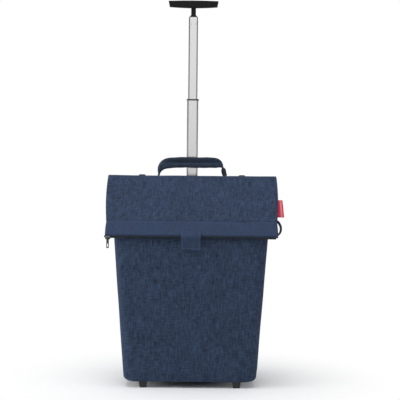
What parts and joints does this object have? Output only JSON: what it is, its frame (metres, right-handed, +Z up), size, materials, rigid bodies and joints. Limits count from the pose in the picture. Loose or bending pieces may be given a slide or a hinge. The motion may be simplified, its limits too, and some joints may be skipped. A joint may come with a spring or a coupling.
{
  "type": "wheeled shopping trolley",
  "caption": "Soft wheeled shopping trolley: fabric bag with a folded-over zip top, padded carry handle, two rear wheels, front feet and a telescopic T-handle.",
  "frame": {"origin": "on the floor, below the middle of the trolley's width and depth", "axes": "+Z up, the front faces -Y, +X is the right-hand side seen from the front"},
  "size_m": [0.456, 0.2328, 0.985],
  "materials": {
    "melange_fabric": "woven melange polyester, matt",
    "plain_fabric": "plain tight weave, matt",
    "webbing": "ribbed webbing",
    "grip_fabric": "padded fabric",
    "hook_and_loop": "hook and loop tape",
    "stiffener": "sheet",
    "anodised_tube": "satin anodised",
    "black_plastic": "fine moulded texture",
    "grey_plastic": "fine moulded texture",
    "wheel_rubber": "matt",
    "hub_plastic": "satin",
    "foot_rubber": "matt",
    "label_fabric": "woven label, blank",
    "zip_coil": "nylon coil",
    "zip_metal": "nickel plated",
    "steel": "zinc plated"
  },
  "bodies": {
    "bag": {"bag_front_panel": "melange_fabric", "bag_back_panel": "melange_fabric", "bag_side_left": "melange_fabric", "bag_side_right": "melange_fabric", "bag_bottom_panel": "melange_fabric", "top_fold": "melange_fabric", "front_board": "stiffener", "back_board": "stiffener", "side_board_left": "stiffener", "side_board_right": "stiffener", "base_board": "stiffener", "closure_patch": "hook_and_loop", "front_foot_left": "foot_rubber", "front_foot_right": "foot_rubber", "foot_screws": "steel", "chassis_bar": "grey_plastic", "chassis_screws": "steel", "wheel_housing_left": "grey_plastic", "wheel_housing_right": "grey_plastic", "wheel_axles": "steel", "axle_caps": "grey_plastic", "outer_tube": "anodised_tube", "outer_tube_collar": "grey_plastic", "tube_sleeve": "webbing", "sleeve_pad": "webbing", "upper_bracket": "grey_plastic", "bracket_rivets": "steel", "handle_anchors": "webbing", "handle_ends": "webbing"},
    "middle_stage": {"middle_tube": "anodised_tube", "middle_tube_collar": "grey_plastic", "middle_guide": "grey_plastic", "middle_lock_clip": "steel"},
    "upper_stage": {"upper_tube": "anodised_tube", "upper_guide": "grey_plastic", "upper_lock_clip": "steel", "handle_body": "black_plastic", "handle_cap": "black_plastic", "handle_screws": "steel", "stem_pins": "steel", "button_spring": "steel"},
    "release_button": {"release_button": "black_plastic", "push_rod": "steel"},
    "wheel_left": {"wheel_tyre_left": "wheel_rubber", "wheel_hub_left": "hub_plastic"},
    "wheel_right": {"wheel_tyre_right": "wheel_rubber", "wheel_hub_right": "hub_plastic"},
    "flap": {"flap_panel": "melange_fabric", "flap_band": "plain_fabric", "zip_tape": "webbing", "zip_teeth": "zip_coil", "zip_end_tab": "webbing", "zip_tail_loop": "webbing", "side_label": "label_fabric"},
    "closure_tab": {"closure_tab": "plain_fabric", "tab_hook_patch": "hook_and_loop"},
    "zip_slider": {"zip_slider": "zip_metal"},
    "zip_pull": {"zip_pull": "zip_metal"},
    "carry_handle": {"carry_handle_strap": "webbing", "carry_handle_grip": "grip_fabric"}
  },
  "joints": [
    {"name": "upper_tube_slide", "type": "slide", "parent": "middle_stage", "child": "upper_stage", "axis": [0, 0, 1], "range_m": [-0.212, 0], "deforming": ["upper_lock_clip"]},
    {"name": "middle_tube_slide", "type": "slide", "parent": "bag", "child": "middle_stage", "axis": [0, 0, 1], "range_m": [-0.198, 0], "deforming": ["middle_lock_clip"]},
    {"name": "release_button_press", "type": "slide", "parent": "upper_stage", "child": "release_button", "axis": [0, 0, -1], "range_m": [0, 0.004], "stiffness_N_per_m": 450, "springref_m": -0.002, "deforming": ["button_spring", "upper_lock_clip"]},
    {"name": "wheel_left_spin", "type": "hinge", "parent": "bag", "child": "wheel_left", "pos_m": [-0.123, 0.0875, 0.0285], "axis": [1, 0, 0], "continuous": true},
    {"name": "wheel_right_spin", "type": "hinge", "parent": "bag", "child": "wheel_right", "pos_m": [0.123, 0.0875, 0.0285], "axis": [1, 0, 0], "continuous": true},
    {"name": "flap_fold", "type": "hinge", "parent": "bag", "child": "flap", "pos_m": [0, 0.024, 0.517], "axis": [-1, 0, 0], "range_deg": [0, 138], "deforming": ["top_fold"]},
    {"name": "tab_peel", "type": "hinge", "parent": "flap", "child": "closure_tab", "pos_m": [0, -0.116, 0.388], "axis": [-1, 0, 0], "range_deg": [0, 100]},
    {"name": "zip_slide", "type": "slide", "parent": "flap", "child": "zip_slider", "axis": [1, 0, 0], "range_m": [0, 0.165]},
    {"name": "zip_pull_swing", "type": "hinge", "parent": "zip_slider", "child": "zip_pull", "pos_m": [-0.207, -0.1144, 0.3724], "axis": [0, 1, 0], "range_deg": [-75, 75]},
    {"name": "carry_handle_tilt", "type": "hinge", "parent": "bag", "child": "carry_handle", "pos_m": [0, 0.054, 0.525], "axis": [-1, 0, 0], "range_deg": [-50, 0], "deforming": ["handle_ends"]}
  ]
}
